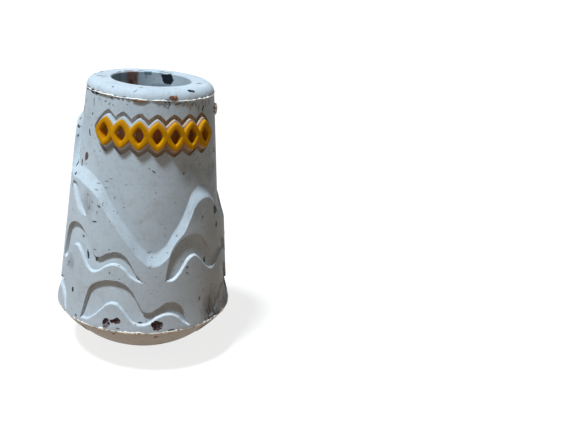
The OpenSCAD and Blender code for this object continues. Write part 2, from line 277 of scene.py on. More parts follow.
# Pits near the rim: (angle, height, half width, half height, depth)
torn_pits = [(-23.4, 1.6, 1.05, 1.3, 0.7), (-17.6, 2.5, 1.15, 0.7, 0.6), (8.6, 1.9, 1.35, 1.3, 0.75)]

# Wall of the sole's pocket, from the middle of a side to its corner: (angle, radius)
pocket_wall = [(0, 11.6), (18.3, 12.74), (31.7, 15.2), (40.6, 18.44), (45, 21.5)]

# Crumbs: sizes and clearances of the scattered ones, veils of those listed one by one
least_length = 0.12
most_length = 0.54
crumb_width = (0.07, 0.17)
crumb_flatness = 0.02
bore_clearance = 0.2
face_clearance = 0.2
clear_veil = 0.75  # for the smallest, and less for the larger
faint_veil = 0.9

# Finishes
bump_strength = 0.3
scuff_and_shade_fade = 0.7
wall_skin = 0.25  # how far the stains of the bore reach into its wall

# Floor and light
floor_half = 4  # metres
floor_gap = 0.02  # below the stud, so that the two don't touch
floor_fade = (35, 75)  # distances from the axis between which its colour changes
floor_near = (0.62, 0.36, 0.20, 1)
floor_far = (0.31, 0.24, 0.19, 1)
floor_shade = (0.25, 0.25, 0.25, 1)
floor_glow = 0.8
sky_left = (0.84, 0.78, 0.68, 1)
sky_right = (0.4, 0.34, 0.28, 1)
sky_strength = 0.1
lamp_colour = (0.91, 0.985, 1.055)

# Camera: turns in radians, place in millimetres, lens and width of the render in pixels
yaw = 0.19706
pitch = 0.34696
roll = 0.10085
camera_place = (0, -183.8, 102.54)
focal_pixels = 754.17
render_w = 577


# ------------------------------------------------------------ node trees

def formula(operation, reverse=False):
    """A Math node, as an operator or a method of a wire."""
    def written(wire, *others):
        values = (*others, wire) if reverse else (wire, *others)
        return wire.tree.math(operation, *values)
    return written


class Wire:
    """What a node gives, written as a value in formulas."""

    __add__ = formula("ADD")
    __radd__ = formula("ADD", reverse=True)
    __sub__ = formula("SUBTRACT")
    __rsub__ = formula("SUBTRACT", reverse=True)
    __mul__ = formula("MULTIPLY")
    __rmul__ = formula("MULTIPLY", reverse=True)
    __truediv__ = formula("DIVIDE")
    __rtruediv__ = formula("DIVIDE", reverse=True)
    __pow__ = formula("POWER")
    __mod__ = formula("FLOORED_MODULO")
    __abs__ = formula("ABSOLUTE")
    sin = formula("SINE")
    cos = formula("COSINE")
    root = formula("SQRT")
    sign = formula("SIGN")
    at_most = formula("MINIMUM")
    at_least = formula("MAXIMUM")
    below = formula("LESS_THAN")
    above = formula("GREATER_THAN")

    def __init__(self, tree, socket):
        self.tree = tree
        self.socket = socket

    def other(self, name):
        """Another output of the same node."""
        return Wire(self.tree, self.socket.node.outputs[name])

    def ramp(self, low, high):
        """0 below low, 1 above high, and a straight rise between them."""
        return self.tree.add("ShaderNodeMapRange", self, low, high)


class Tree:
    """A node tree, written as formulas."""

    def __init__(self, tree):
        self.tree = tree

    def plug(self, value, socket):
        """Sets a socket, or links a wire or each wire of a list to it; None leaves it as it is."""
        if isinstance(value, list):
            for one in value:
                self.plug(one, socket)
        elif isinstance(value, Wire):
            self.tree.links.new(value.socket, socket)
        elif value is not None:
            socket.default_value = value

    def add(self, kind, *values, **settings):
        """Adds a node with its settings, plugs its inputs in order and gives its first output."""
        node = self.tree.nodes.new(kind)
        for name, value in settings.items():
            setattr(node, name, value)
        sockets = [socket for socket in node.inputs if socket.enabled]
        for socket, value in zip(sockets, values):
            self.plug(value, socket)
        return Wire(self, next(socket for socket in node.outputs if socket.enabled))

    def math(self, operation, *values):
        return self.add("ShaderNodeMath", *values, operation=operation)

    def vector(self, operation, *values):
        return self.add("ShaderNodeVectorMath", *values, operation=operation)

    def xyz(self, x, y, z):
        return self.add("ShaderNodeCombineXYZ", x, y, z)

    def split(self, vector):
        first = self.add("ShaderNodeSeparateXYZ", vector)
        return first, first.other("Y"), first.other("Z")

    def blend(self, factor, a, b):
        """Colour a where the factor is 0 and b where it is 1."""
        return self.add("ShaderNodeMix", factor, a, b, data_type="RGBA")

    def curve(self, value, points):
        """Smooth curve through the points, each (value, result)."""
        reach = points[-1][0]
        top = 1.1 * max(result for _, result in points)  # with room for the curve to swing
        node = self.tree.nodes.new("ShaderNodeFloatCurve")
        line = node.mapping.curves[0]
        while len(line.points) < len(points):
            line.points.new(0.5, 0.5)
        for point, (x, y) in zip(line.points, points):
            point.location = (x / reach, y / top)
        node.mapping.update()
        self.plug(value / reach, node.inputs["Value"])
        return Wire(self, node.outputs[0]) * top


class Shape(Tree):
    """A geometry node tree with named sizes, run once to make a plain mesh."""

    def __init__(self, name, mesh=False):
        super().__init__(bpy.data.node_groups.new(name, "GeometryNodeTree"))
        self.name = name
        self.sizes = {}
        self.tree.interface.new_socket("Geometry", in_out="OUTPUT", socket_type="NodeSocketGeometry")
        if mesh:
            self.tree.interface.new_socket("Mesh", in_out="INPUT", socket_type="NodeSocketGeometry")
        self.inside = self.tree.nodes.new("NodeGroupInput")
        self.given = Wire(self, self.inside.outputs[0])  # the base, where the tree has a mesh

    def size(self, name, value, kind="NodeSocketFloat"):
        """A named input of the tree."""
        made = self.tree.interface.new_socket(name, in_out="INPUT", socket_type=kind)
        self.sizes[made.identifier] = value
        return Wire(self, next(s for s in self.inside.outputs if s.identifier == made.identifier))

    def place(self, angle, radius, height):
        """The point at an angle from the front."""
        turn = angle * DEGREE
        return self.xyz(radius * turn.sin(), radius * turn.cos() * -1, height)

    def position(self):
        return self.add("GeometryNodeInputPosition")

    def normal(self):
        return self.add("GeometryNodeInputNormal")

    def noise(self, scale, detail, where=None):
        """Noise from about -0.5 to 0.5, with scale cells to a millimetre."""
        return self.add("ShaderNodeTexNoise", where or self.position(), scale, detail) - 0.5

    def put(self, geometry, places):
        """Puts each point in its new place."""
        return self.add("GeometryNodeSetPosition", geometry, None, places)

    def push(self, geometry, way, reach):
        """Pushes each point along its way."""
        return self.add("GeometryNodeSetPosition", geometry, None, None, self.vector("SCALE", way, reach))

    def ragged(self, geometry, scale, detail, reach):
        """Pushes the points about by noise, with scale cells to a millimetre."""
        waves = self.add("ShaderNodeTexNoise", self.position(), scale, detail).other("Color")
        return self.push(geometry, self.vector("SUBTRACT", waves, (0.5, 0.5, 0.5)), reach)

    def join(self, *parts):
        return self.add("GeometryNodeJoinGeometry", list(parts))

    def unite(self, *parts):
        return self.add("GeometryNodeMeshBoolean", list(parts), operation="UNION", solver="MANIFOLD")

    def cut(self, whole, *parts):
        return self.add(
            "GeometryNodeMeshBoolean", whole, list(parts), operation="DIFFERENCE", solver="MANIFOLD")

    def moved(self, geometry, shift=None, turn=None, scale=None):
        return self.add("GeometryNodeTransform", geometry, shift, turn, scale)

    def store(self, geometry, name, value, kind="FLOAT"):
        return self.add("GeometryNodeStoreNamedAttribute", geometry, None, name, value, data_type=kind)

    def named(self, name, kind="FLOAT"):
        return self.add("GeometryNodeInputNamedAttribute", name, data_type=kind)

    def close(self, geometry):
        """Joins the edges of nets that meet."""
        return self.add("GeometryNodeMergeByDistance", geometry, None, 0.0005)

    def shade(self, geometry, crease=38):
        """Smooth faces, with creases where they meet at more than an angle."""
        smooth = self.add("GeometryNodeSetShadeSmooth", geometry, None, True, domain="FACE")
        flat = self.add("GeometryNodeInputMeshEdgeAngle").below(crease * DEGREE)
        return self.add("GeometryNodeSetShadeSmooth", smooth, None, flat, domain="EDGE")

    def nearest(self, mesh, value):
        """A vector of a mesh at the point of its surface that lies nearest."""
        return self.add("GeometryNodeSampleNearestSurface", mesh, value, data_type="FLOAT_VECTOR")

    def piece(self, made):
        """A finished piece, back in the tree's own units."""
        source = self.size("Piece", made, "NodeSocketObject")
        whole = self.add("GeometryNodeObjectInfo", source, transform_space="ORIGINAL").other("Geometry")
        lowered = self.moved(whole, (0, 0, -sole_h * MM))
        return self.moved(lowered, scale=(1 / MM, 1 / MM, 1 / MM))

    def upright_turn(self, turn):
        """A turn about the upright axis, in radians."""
        return self.add("FunctionNodeEulerToRotation", self.xyz(None, None, turn))

    def round_axis(self, geometry, count):
        """The geometry repeated round the axis."""
        line = self.add("GeometryNodeMeshLine", count, None, (0.0, 0.0, 0.0))
        points = self.add("GeometryNodeMeshToPoints", line)
        spin = self.upright_turn(self.add("GeometryNodeInputIndex") * (2 * math.pi / count))
        made = self.add("GeometryNodeInstanceOnPoints", points, None, geometry, None, None, spin)
        return self.add("GeometryNodeRealizeInstances", made)

    def make(self, geometry, material, node=None, slot="white_rubber", base=None):
        """Ends the tree, runs it on the base and gives the plain piece."""
        lifted = self.moved(geometry, (0, 0, sole_h * MM), scale=(MM, MM, MM))
        real = self.add("GeometryNodeRealizeInstances", lifted)
        done = self.add("GeometryNodeSetMaterial", real, None, material)
        self.plug(done, self.tree.nodes.new("NodeGroupOutput").inputs[0])
        piece = bpy.data.objects.new(self.name, base or bpy.data.meshes.new(self.name))
        scene.collection.objects.link(piece)
        modifier = piece.modifiers.new("shape", "NODES")
        modifier.node_group = self.tree
        for identifier, value in self.sizes.items():
            modifier[identifier] = value
        depsgraph = bpy.context.evaluated_depsgraph_get()
        piece.data = bpy.data.meshes.new_from_object(
            piece.evaluated_get(depsgraph), preserve_all_data_layers=True, depsgraph=depsgraph)
        piece.data.name = self.name
        piece.modifiers.clear()
        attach(piece, "root")
        if node:
            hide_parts(node)
        return piece


class Finish(Tree):
    """A material on Object coordinates, in millimetres."""

    def __init__(self, name, roughness, specular):
        self.material = bpy.data.materials.new(name)
        self.material.use_nodes = True
        super().__init__(self.material.node_tree)
        self.shader = self.tree.nodes["Principled BSDF"]
        self.plug(roughness, self.shader.inputs["Roughness"])
        self.plug(specular, self.shader.inputs["Specular IOR Level"])
        place = self.add("ShaderNodeTexCoord").other("Object")
        self.at = self.vector("SUBTRACT", self.vector("SCALE", place, 1 / MM), (0, 0, sole_h))

    def noise(self, scale, detail=3, roughness=0.5):
        """Noise from 0 to 1, with scale cells to a millimetre."""
        return self.add("ShaderNodeTexNoise", self.at, scale, detail, roughness)

    def ragged(self, value, scale, amount):
        """The value made uneven by noise."""
        return value + (self.noise(scale, detail=4, roughness=0.6) - 0.5) * amount

    def specks(self, size, share):
        """1 inside small irregular specks of about a size, which take a share of the cells."""
        cells = self.add("ShaderNodeTexVoronoi", self.at, 0.5 / size)
        chosen = self.add("ShaderNodeSeparateColor", cells.other("Color"))
        rough = self.noise(2.5 / size) * 0.35
        inside = 1 - (cells + rough).ramp(0.30, 0.36)
        return inside * chosen.below(share)

    def patch(self, centre, reach, fade):
        """1 inside a ragged ellipsoid round the centre, with an edge that fades over a share of it."""
        off = self.vector("DIVIDE", self.vector("SUBTRACT", self.at, centre), reach)
        return 1 - self.ragged(self.vector("LENGTH", off), 0.8, 0.7).ramp(1 - fade, 1.0)

    def wall_patch(self, outline, softness):
        """1 inside a ragged convex outline of (angle, height) on the wall of the bore."""
        x, y, height = self.split(self.at)
        along = self.math("ARCTAN2", x, y * -1) % (2 * math.pi) * bore_r
        corners = [(angle * DEGREE * bore_r, level) for angle, level in outline]
        depth = 5.0  # inside the outline, at the most
        for here, after in zip(corners, corners[1:] + corners[:1]):
            length = math.dist(here, after)
            level = (after[0] - here[0]) / length
            steep = (after[1] - here[1]) / length
            depth = ((height - here[1]) * level - (along - here[0]) * steep).at_most(depth)
        on_wall = self.vector("LENGTH", self.xyz(x, y, 0.0)).below(bore_r + wall_skin)
        return self.ragged(depth, 1.2, 0.9).ramp(0, softness) * on_wall

    def attribute(self, name):
        return self.add("ShaderNodeAttribute", attribute_name=name).other("Fac")

    def done(self, tone, grain, distance):
        """The material with its colour, and with a grain that stands up by about a distance."""
        node = self.tree.nodes.new("ShaderNodeBump")
        self.plug(bump_strength, node.inputs["Strength"])
        self.plug(distance * MM, node.inputs["Distance"])
        self.plug(grain, node.inputs["Height"])
        self.plug(Wire(self, node.outputs[0]), self.shader.inputs["Normal"])
        self.plug(tone, self.shader.inputs["Base Color"])
        return self.material


# -------------------------------------------------------------- finishes

def srgb(red, green, blue):
    """Linear colour of an sRGB value from 0 to 255."""
    def linear(value):
        part = value / 255
        return part / 12.92 if part <= 0.04045 else ((part + 0.055) / 1.055) ** 2.4
    return (linear(red), linear(green), linear(blue), 1)


def tree_point(angle, radius, height):
    """A point at an angle from the front."""
    turn = math.radians(angle)
    return (radius * math.sin(turn), -radius * math.cos(turn), height)


# Colours of the white rubber, of what marks it, and of painted shade and highlight
mottle_dark = srgb(186, 201, 211)
mottle_light = srgb(200, 216, 226)
groove_pale = srgb(214, 230, 240)
cloud_grey = srgb(152, 145, 146)
haze_grey = srgb(124, 122, 128)
foot_grey = srgb(128, 134, 142)
# Painted shade of the overhanging groove walls, and painted highlight of the upward ones
overhang_painted_shade = srgb(146, 122, 100)
upward_painted_highlight = srgb(238, 246, 250)
# Black of the scuff marks and of the painted shade on the right half
scuff_and_shade_black = srgb(52, 46, 40)
dust_grey = srgb(92, 90, 92)
# Brown of the lip and the recess: dirt and painted shade
lip_grime_and_shade = srgb(184, 144, 98)
recess_grime_and_shade = srgb(166, 106, 66)
# Dark inside the pits: stain and painted shade
torn_stain_and_shade = srgb(40, 24, 24)
torn_brown = srgb(92, 66, 62)
torn_grey = srgb(150, 144, 150)


def white_tone(finish, mottle, height):
    """Slightly blue white: mottled and clouded, paler in the grooves and greyer towards the foot."""
    tone = finish.blend(mottle, mottle_dark, mottle_light)
    tone = finish.blend(finish.attribute("recess") * 0.3, tone, groove_pale)
    cloud = finish.noise(0.3, detail=6, roughness=0.7).ramp(0.52, 0.78)
    tone = finish.blend(cloud * 0.42, tone, cloud_grey)
    haze = finish.noise(1.3, detail=5, roughness=0.7).ramp(0.5, 0.8)
    tone = finish.blend(haze * 0.32, tone, haze_grey)
    worn = (1 - height.ramp(2, 34)) * (0.2 + mottle * 0.2)
    return finish.blend(worn, tone, foot_grey)


def wall_tone(finish, tone, to_right):
    """Walls of the grooves: painted brown shade where they hang over, and a painted highlight where they
    face up, stronger towards the right.
    """
    upward = finish.split(finish.add("ShaderNodeTexCoord").other("Normal"))[2]
    wall = finish.attribute("recess").ramp(0.02, 0.3)
    # Painted shade: overhanging walls tinted brown
    overhang_shade = wall * (upward * -1).ramp(0.1, 0.5) * 0.4
    tone = finish.blend(overhang_shade, tone, overhang_painted_shade)
    # Painted highlight: walls that face up made paler, more so towards the right
    upward_highlight = wall * upward.ramp(0.3, 0.6) * (0.12 + to_right.ramp(-10, 6) * 0.38)
    return finish.blend(upward_highlight, tone, upward_painted_highlight)


def stained_tone(finish, tone):
    """Stains in the bore with painted shade on its left, streaky dark patches that are scuff marks on the
    left and painted shade on the right half, and fine dust.
    """
    # Stains of the bore, the first of them painted shade
    for outline, softness, amount, shade in bore_stains_and_shade:
        tone = finish.blend(finish.wall_patch(outline, softness) * amount, tone, shade)
    drawn_out = finish.vector("MULTIPLY", finish.at, (1.5, 1.5, 0.1))
    streaks = finish.add("ShaderNodeTexNoise", drawn_out, 1.0, 4).ramp(0.35, 0.6)
    # Dark streaky patches: scuff marks on the left, painted shade on the right half
    for centre, reach, amount in scuffs_and_shade:
        scuff_and_shade_mark = finish.patch(tree_point(*centre), reach, scuff_and_shade_fade) * (0.4 + streaks * 0.6)
        tone = finish.blend(scuff_and_shade_mark * amount, tone, scuff_and_shade_black)
    return finish.blend(finish.specks(0.22, 0.045) * 0.7, tone, dust_grey)


def grime_and_shade_tone(finish, tone, to_right, height):
    """Brown dirt and painted shade on the lip and in the recess of the lozenges, darkest in the middle of
    the recess and towards the right, and dark torn pits, partly stain and partly painted shade.
    """
    dirt = finish.noise(1.1, detail=4, roughness=0.6).ramp(0.3, 0.7)
    middle = 1 - abs(height - row_height).ramp(1.6, 3)
    grime = finish.blend(middle, lip_grime_and_shade, recess_grime_and_shade)
    # Painted shade: browner in the middle of the recess and towards the right, over uneven dirt
    share = 0.35 + dirt * 0.2 + to_right.ramp(-5, 3) * 0.4 + middle * 0.3
    tone = finish.blend(finish.attribute("grime") * share, tone, grime)
    # Pits dark inside: partly stain, partly painted shade
    torn = finish.blend(dirt, torn_stain_and_shade, torn_brown)
    flecks = finish.noise(0.9).ramp(0.53, 0.6)
    torn = finish.blend(flecks * 0.8, torn, torn_grey)
    return finish.blend(finish.attribute("pit"), tone, torn)


def white_rubber():
    """White rubber with the marks of wear, and with painted shade and highlights."""
    finish = Finish("white_rubber", roughness=0.62, specular=0.22)
    to_right, _, height = finish.split(finish.at)
    mottle = finish.noise(0.1, detail=4, roughness=0.6).ramp(0.3, 0.7)
    tone = white_tone(finish, mottle, height)
    tone = wall_tone(finish, tone, to_right)
    tone = stained_tone(finish, tone)
    tone = grime_and_shade_tone(finish, tone, to_right, height)
    return finish.done(tone, finish.noise(1.6, detail=5, roughness=0.6), 0.12)


def flash_rubber():
    """Paler rubber of the fins, stained in places; on the pip, which sits in shade, it is painted light.
    """
    finish = Finish("flash_rubber", roughness=0.55, specular=0.25)
    stain = finish.noise(0.6, detail=5, roughness=0.7).ramp(0.54, 0.6)
    tone = finish.blend(stain * 0.85, srgb(238, 238, 232), srgb(96, 84, 76))
    return finish.done(tone, finish.noise(2.5), 0.08)


def yellow_rubber():
    """Deep yellow rubber, worn a little darker in patches."""
    finish = Finish("yellow_rubber", roughness=0.6, specular=0.1)
    mottle = finish.noise(0.45, detail=4, roughness=0.6).ramp(0.35, 0.65)
    tone = finish.blend(mottle, (0.52, 0.232, 0.0, 1), (0.66, 0.315, 0.0, 1))
    dust = finish.specks(0.25, 0.03)
    tone = finish.blend(dust * 0.5, tone, (0.35, 0.13, 0.005, 1))
    return finish.done(tone, finish.noise(1.2, detail=4), 0.12)


def crumb_rubber(name, dark, light, faint):
    """Rubber of another colour, some of its crumbs faint under a skin of the white."""
    finish = Finish(name, roughness=0.6, specular=0.2)
    grain = finish.noise(1.8).ramp(0.35, 0.65)
    tone = finish.blend(finish.attribute("veil"), finish.blend(grain, dark, light), faint)
    return finish.done(tone, finish.noise(3), 0.08)


white = white_rubber()
# Paler fin rubber; on the pip it is painted light
fin_white_and_pip_light = flash_rubber()
yellow = yellow_rubber()
teal_crumb = crumb_rubber("teal_crumb", srgb(16, 26, 32), srgb(36, 52, 60), srgb(150, 160, 168))
amber_crumb = crumb_rubber("amber_crumb", srgb(96, 62, 46), srgb(164, 122, 96), srgb(150, 120, 100))
brown_crumb = crumb_rubber("brown_crumb", srgb(66, 50, 50), srgb(108, 90, 88), srgb(156, 149, 145))


# ------------------------------------------------------------------ body

def climb(row, steps, values):
    """Goes straight from value to value, each as many rows after the last as its step says."""
    value = values[0]
    here = value
    start = 0
    for step, target in zip(steps[1:], values[1:]):
        end = start + step
        if target is not here:
            value = value + row.ramp(start, end) * (target - here)
        here = target
        start = end
    return value


def net(tree, rows, across=columns):
    """A grid with its angle and its row."""
    grid = tree.add("GeometryNodeMeshGrid", across, rows, across + 1, rows + 1)
    x, y, _ = tree.split(tree.position())
    angle = x * (360 / across)
    return grid, angle, y + rows / 2


def neck_at(height):
    return neck_foot_r - neck_taper * height


def layer_at(height):
    return layer_foot_r - layer_taper * height


def sphere(centre, radius, square):
    """Height of a sphere's underside, at the square of a distance from the axis."""
    return centre - (radius ** 2 - square).root()


def lozenge_outline(turned, reach):
    """A point of a lozenge's outline, widened by the reach all round."""
    def round_off(wave, size):
        return wave.sign() * abs(wave) ** lozenge_roundness * (size + reach)
    return round_off(turned.cos(), lozenge_w / 2), round_off(turned.sin(), lozenge_h / 2)


def open_lozenge(tree, grow, low, high, soft):
    """A lozenge drawn with a stroke whose upper edges are rounded. It grows outwards for the most part."""
    inner = -lozenge_stroke - stroke_growth * grow
    quarter = [angle * DEGREE for angle in (0, 22.5, 45, 67.5, 90)]
    outer_edge = [(-soft * (1 - math.cos(a)), high - soft * (1 - math.sin(a))) for a in quarter]
    inner_edge = [(inner - offset, level) for offset, level in reversed(outer_edge)]
    section = [(0.0, low), *outer_edge, *inner_edge, (inner, low), (0.0, low)]
    offsets, levels = zip(*section)
    rows = len(section) - 1
    steps = [1] * len(section)
    grid, angle, row = net(tree, rows, lozenge_columns)
    x, y = lozenge_outline(angle * DEGREE, climb(row, steps, offsets) + grow)
    return tree.close(tree.put(grid, tree.xyz(x, y, climb(row, steps, levels))))


def lozenge_block(tree, grow, low, high):
    """A whole lozenge, which the recess is cut with."""
    grid, angle, row = net(tree, 3, lozenge_columns)
    x, y = lozenge_outline(angle * DEGREE, grow)
    share = row.ramp(0, 1) * (1 - row.ramp(2, 3))
    height = low + row.ramp(1, 2) * (high - low)
    return tree.close(tree.put(grid, tree.xyz(x * share, y * share, height)))


def bent_row(tree, lozenge):
    """The lozenge repeated in a row and bent round the neck."""
    pitch = lozenge_pitch * DEGREE * row_r
    first = -pitch * (lozenge_count - 1) / 2
    line = tree.add("GeometryNodeMeshLine", lozenge_count, (first, 0.0, 0.0), (pitch, 0.0, 0.0))
    points = tree.add("GeometryNodeMeshToPoints", line)
    chain = tree.unite(tree.add("GeometryNodeInstanceOnPoints", points, None, lozenge))
    x, y, z = tree.split(tree.position())
    height = y + row_height
    angle = x * (1 / DEGREE / row_r) + row_angle
    return tree.put(chain, tree.place(angle, neck_foot_r - height * neck_taper + z, height))


def skin_at(height):
    """Radius of the flank near the rim."""
    return layer_at(height) + flare_w * max(0.0, 1 - height / flare_h) ** 1.5


def pits(tree):
    """Ragged lumps that leave pits in the skin where they are taken out."""
    lumps = []
    for angle, height, half_width, half_height, depth in torn_pits:
        ball = tree.add("GeometryNodeMeshIcoSphere", 1.0, 4)
        flat = tree.moved(ball, scale=(half_width, depth, half_height))
        out = tree.moved(flat, (0, -skin_at(height), height))
        lumps.append(tree.moved(out, turn=(0, 0, angle * DEGREE)))
    return tree.store(tree.ragged(tree.unite(*lumps), 1.1, 3, 1.7), "pit", 1.0)


def sole(tree):
    """Stud, pocket floor, pocket wall and petals."""
    steps = (0, 5, 6, 3, 10, 6, 14, 2)
    grid, angle, row = net(tree, sum(steps))
    hex_half = 30
    off_hex = (angle + (hex_half - stud_turn)) % (2 * hex_half) - hex_half
    hexagon = math.cos(hex_half * DEGREE) / (off_hex * DEGREE).cos()
    face = hexagon * stud_r
    foot = hexagon * stud_foot_r
    wall_half = pocket_wall[-1][0]
    off_wall = abs((angle + wall_half) % (2 * wall_half) - wall_half)
    pocket = tree.curve(off_wall, pocket_wall)
    radii = (0.0, face, foot, foot, pocket, pocket, shell_r - rim_ledge, shell_r)
    radius = climb(row, steps, radii)
    ground = sphere(pocket_floor_centre, pocket_floor_r, radius * radius)
    dome = sphere(dome_centre, dome_r, radius * radius)
    heights = (-sole_h, -sole_h, stud_bevel_h - sole_h, ground, ground, dome, dome, 0.0)
    return tree.put(grid, tree.place(angle, radius, climb(row, steps, heights)))


def edge_line(tree, value, points):
    """A curve's height and how steeply it runs, as a length over its width."""
    width = 2 * slope_reach * DEGREE * flank_middle_r
    rise = (tree.curve(value + slope_reach, points) - tree.curve(value - slope_reach, points)) / width
    return tree.curve(value, points), (1 + rise * rise).root()


def groove(tree, angle, start, upper, lower, depth, wall_w, foot_w):
    """Heights of a groove's four edges and its depth, all of them repeated round the flank."""
    here = (angle - start) % groove_turn
    top, top_steep = edge_line(tree, here, upper)
    foot, foot_steep = edge_line(tree, here, lower)
    gap = (top - foot).at_least(least_gap)
    low_wall = (foot_w * foot_steep).at_most(gap * wall_share)
    high_wall = (wall_w * top_steep).at_most(gap * wall_share)
    return [foot, foot + low_wall, foot + gap - high_wall, foot + gap], depth * gap.ramp(*groove_gap)


def groove_rows(edges, sunk, land):
    """Rows across a groove, close together at its edges: (rows, height, depth)."""
    foot, floor_low, floor_high, top = edges
    shallow = sunk * floor_rise
    return [
        (land, foot - ease, 0.0), (1, foot, 0.0), (3, floor_low, shallow), (1, floor_low + ease, shallow),
        (4, floor_high - ease, sunk), (1, floor_high, sunk), (3, top, 0.0), (1, top + ease, 0.0)]


def scallop_rows(tree, angle, low, high, depth, wall_w):
    """Rows across the scallop: a slope down to a floor, which ends at a short wall."""
    here = angle - scallop_start

    def inside(fade):
        return here.ramp(-fade, 0) * (1 - here.ramp(scallop_span, scallop_span + fade))

    held = here.at_most(scallop_span - 0.01).at_least(0.01)
    near = inside(scallop_fade)
    middle = low + (high - low) * 0.5
    foot = middle + near * (tree.curve(held, scallop_lower) - middle)
    rest = middle + scallop_rest
    top = rest + near * (tree.curve(held, scallop_upper) - rest)
    gap = top - foot
    wall = (gap * wall_share).at_most(wall_w)
    slope_top = foot + (gap * 0.5).at_most(scallop_slope)
    sunk = depth * inside(scallop_end) * gap.ramp(*scallop_gap)
    return [
        (4, foot - ease, 0.0), (1, foot, 0.0), (2, slope_top, sunk * floor_rise),
        (4, top - wall, sunk), (3, top, 0.0), (1, top + ease, 0.0)]


def flank(tree, depth, wall_w, foot_w, bevel):
    """Two bands of grooves, a scallop, the wave's bevel and the neck."""
    grid, angle, row = net(tree, flank_rows)
    low_edges, low_sunk = groove(tree, angle, low_start, low_upper, low_lower, depth, wall_w, foot_w)
    low_sunk = low_sunk * (1 - worn_groove * angle.ramp(*worn_start) * (1 - angle.ramp(*worn_end)))
    high_edges, high_sunk = groove(tree, angle, high_start, high_upper, high_lower, depth, wall_w, foot_w)
    edge = tree.curve((angle - wave_start) % 360, wave_edge)
    stations = [
        (0, 0.0, 0.0), *groove_rows(low_edges, low_sunk, 8), *groove_rows(high_edges, high_sunk, 6),
        *scallop_rows(tree, angle, high_edges[3], edge, depth, wall_w),
        (6, edge - ease, 0.0), (1, edge, 0.0), (bevel_rows, edge + bevel, 0.0),
        (1, edge + bevel + ease * 2, 0.0), (28, shoulder_z, 0.0)]
    steps, heights, depths = zip(*stations)
    height = climb(row, steps, heights)
    sunk = climb(row, steps, depths)
    before = sum(steps[:-3])
    drop = 1 - (1 - row.ramp(before, before + bevel_rows)) ** bevel_hollow
    skin = layer_at(height) + tree.curve(height.ramp(0, flare_h), flare_line)
    radius = skin + drop * (neck_at(height) - skin) - sunk
    flat = tree.store(grid, "recess", sunk / groove_depth)
    return tree.put(flat, tree.place(angle, radius, height))


def mouth(tree):
    """Shoulder, ring, lead, bore and the bore's floor."""
    steps = (0, 9, 5, 3, 9, 4)
    grid, angle, row = net(tree, sum(steps))
    centre = shoulder_r - shoulder_round
    turn = row.ramp(0, steps[1]) * (math.pi / 2)
    radii = (0.0, 0.0, bore_r + bore_lead - centre, bore_r - centre, bore_r - centre, -centre)
    heights = (0.0, 0.0, 0.0, -bore_lead, -bore_depth, -bore_depth)
    radius = climb(row, steps, radii) + centre + turn.cos() * shoulder_round
    height = climb(row, steps, heights) + shoulder_z + turn.sin() * shoulder_round
    return tree.put(grid, tree.place(angle, radius, height))


def body():
    """Sole, flank and mouth in one, with the recess of the row and torn pits cut out."""
    tree = Shape("tip_shell")
    depth = tree.size("Groove Depth", groove_depth)
    wall_w = tree.size("Groove Wall", groove_wall)
    foot_w = tree.size("Groove Foot", groove_foot)
    bevel = tree.size("Bevel Height", bevel_h)
    waviness = tree.size("Waviness", skin_wave)
    whole = tree.close(tree.join(sole(tree), flank(tree, depth, wall_w, foot_w, bevel), mouth(tree)))
    whole = tree.push(whole, tree.normal(), tree.noise(0.13, 3) * waviness * 2)
    recess = bent_row(tree, lozenge_block(tree, recess_w, -recess_depth, recess_top))
    # The faces that the recess cuts are marked for brown dirt and painted shade
    whole = tree.cut(whole, tree.store(recess, "grime", 1.0), pits(tree))
    return tree.make(tree.shade(whole), white, "tip_body")


def band():
    """Yellow row of open lozenges, let into the neck."""
    tree = Shape("band_row")
    lozenge = open_lozenge(tree, 0.0, -row_inset, row_proud, row_soft)
    return tree.make(tree.shade(bent_row(tree, lozenge)), yellow, "coloured_band", "yellow_rubber")


def band_lip():
    """White lip round each lozenge, browned towards the right by painted shade, where the light falls
    away.
    """
    tree = Shape("band_lip")
    lip = bent_row(tree, open_lozenge(tree, lip_w, -row_inset, lip_h, lip_soft))
    to_right, _, _ = tree.split(tree.position())
    # Painted shade: the lip browner towards the right
    lip = tree.store(lip, "grime", to_right.ramp(-3, 5) * 0.75)
    return tree.make(tree.shade(lip), white)


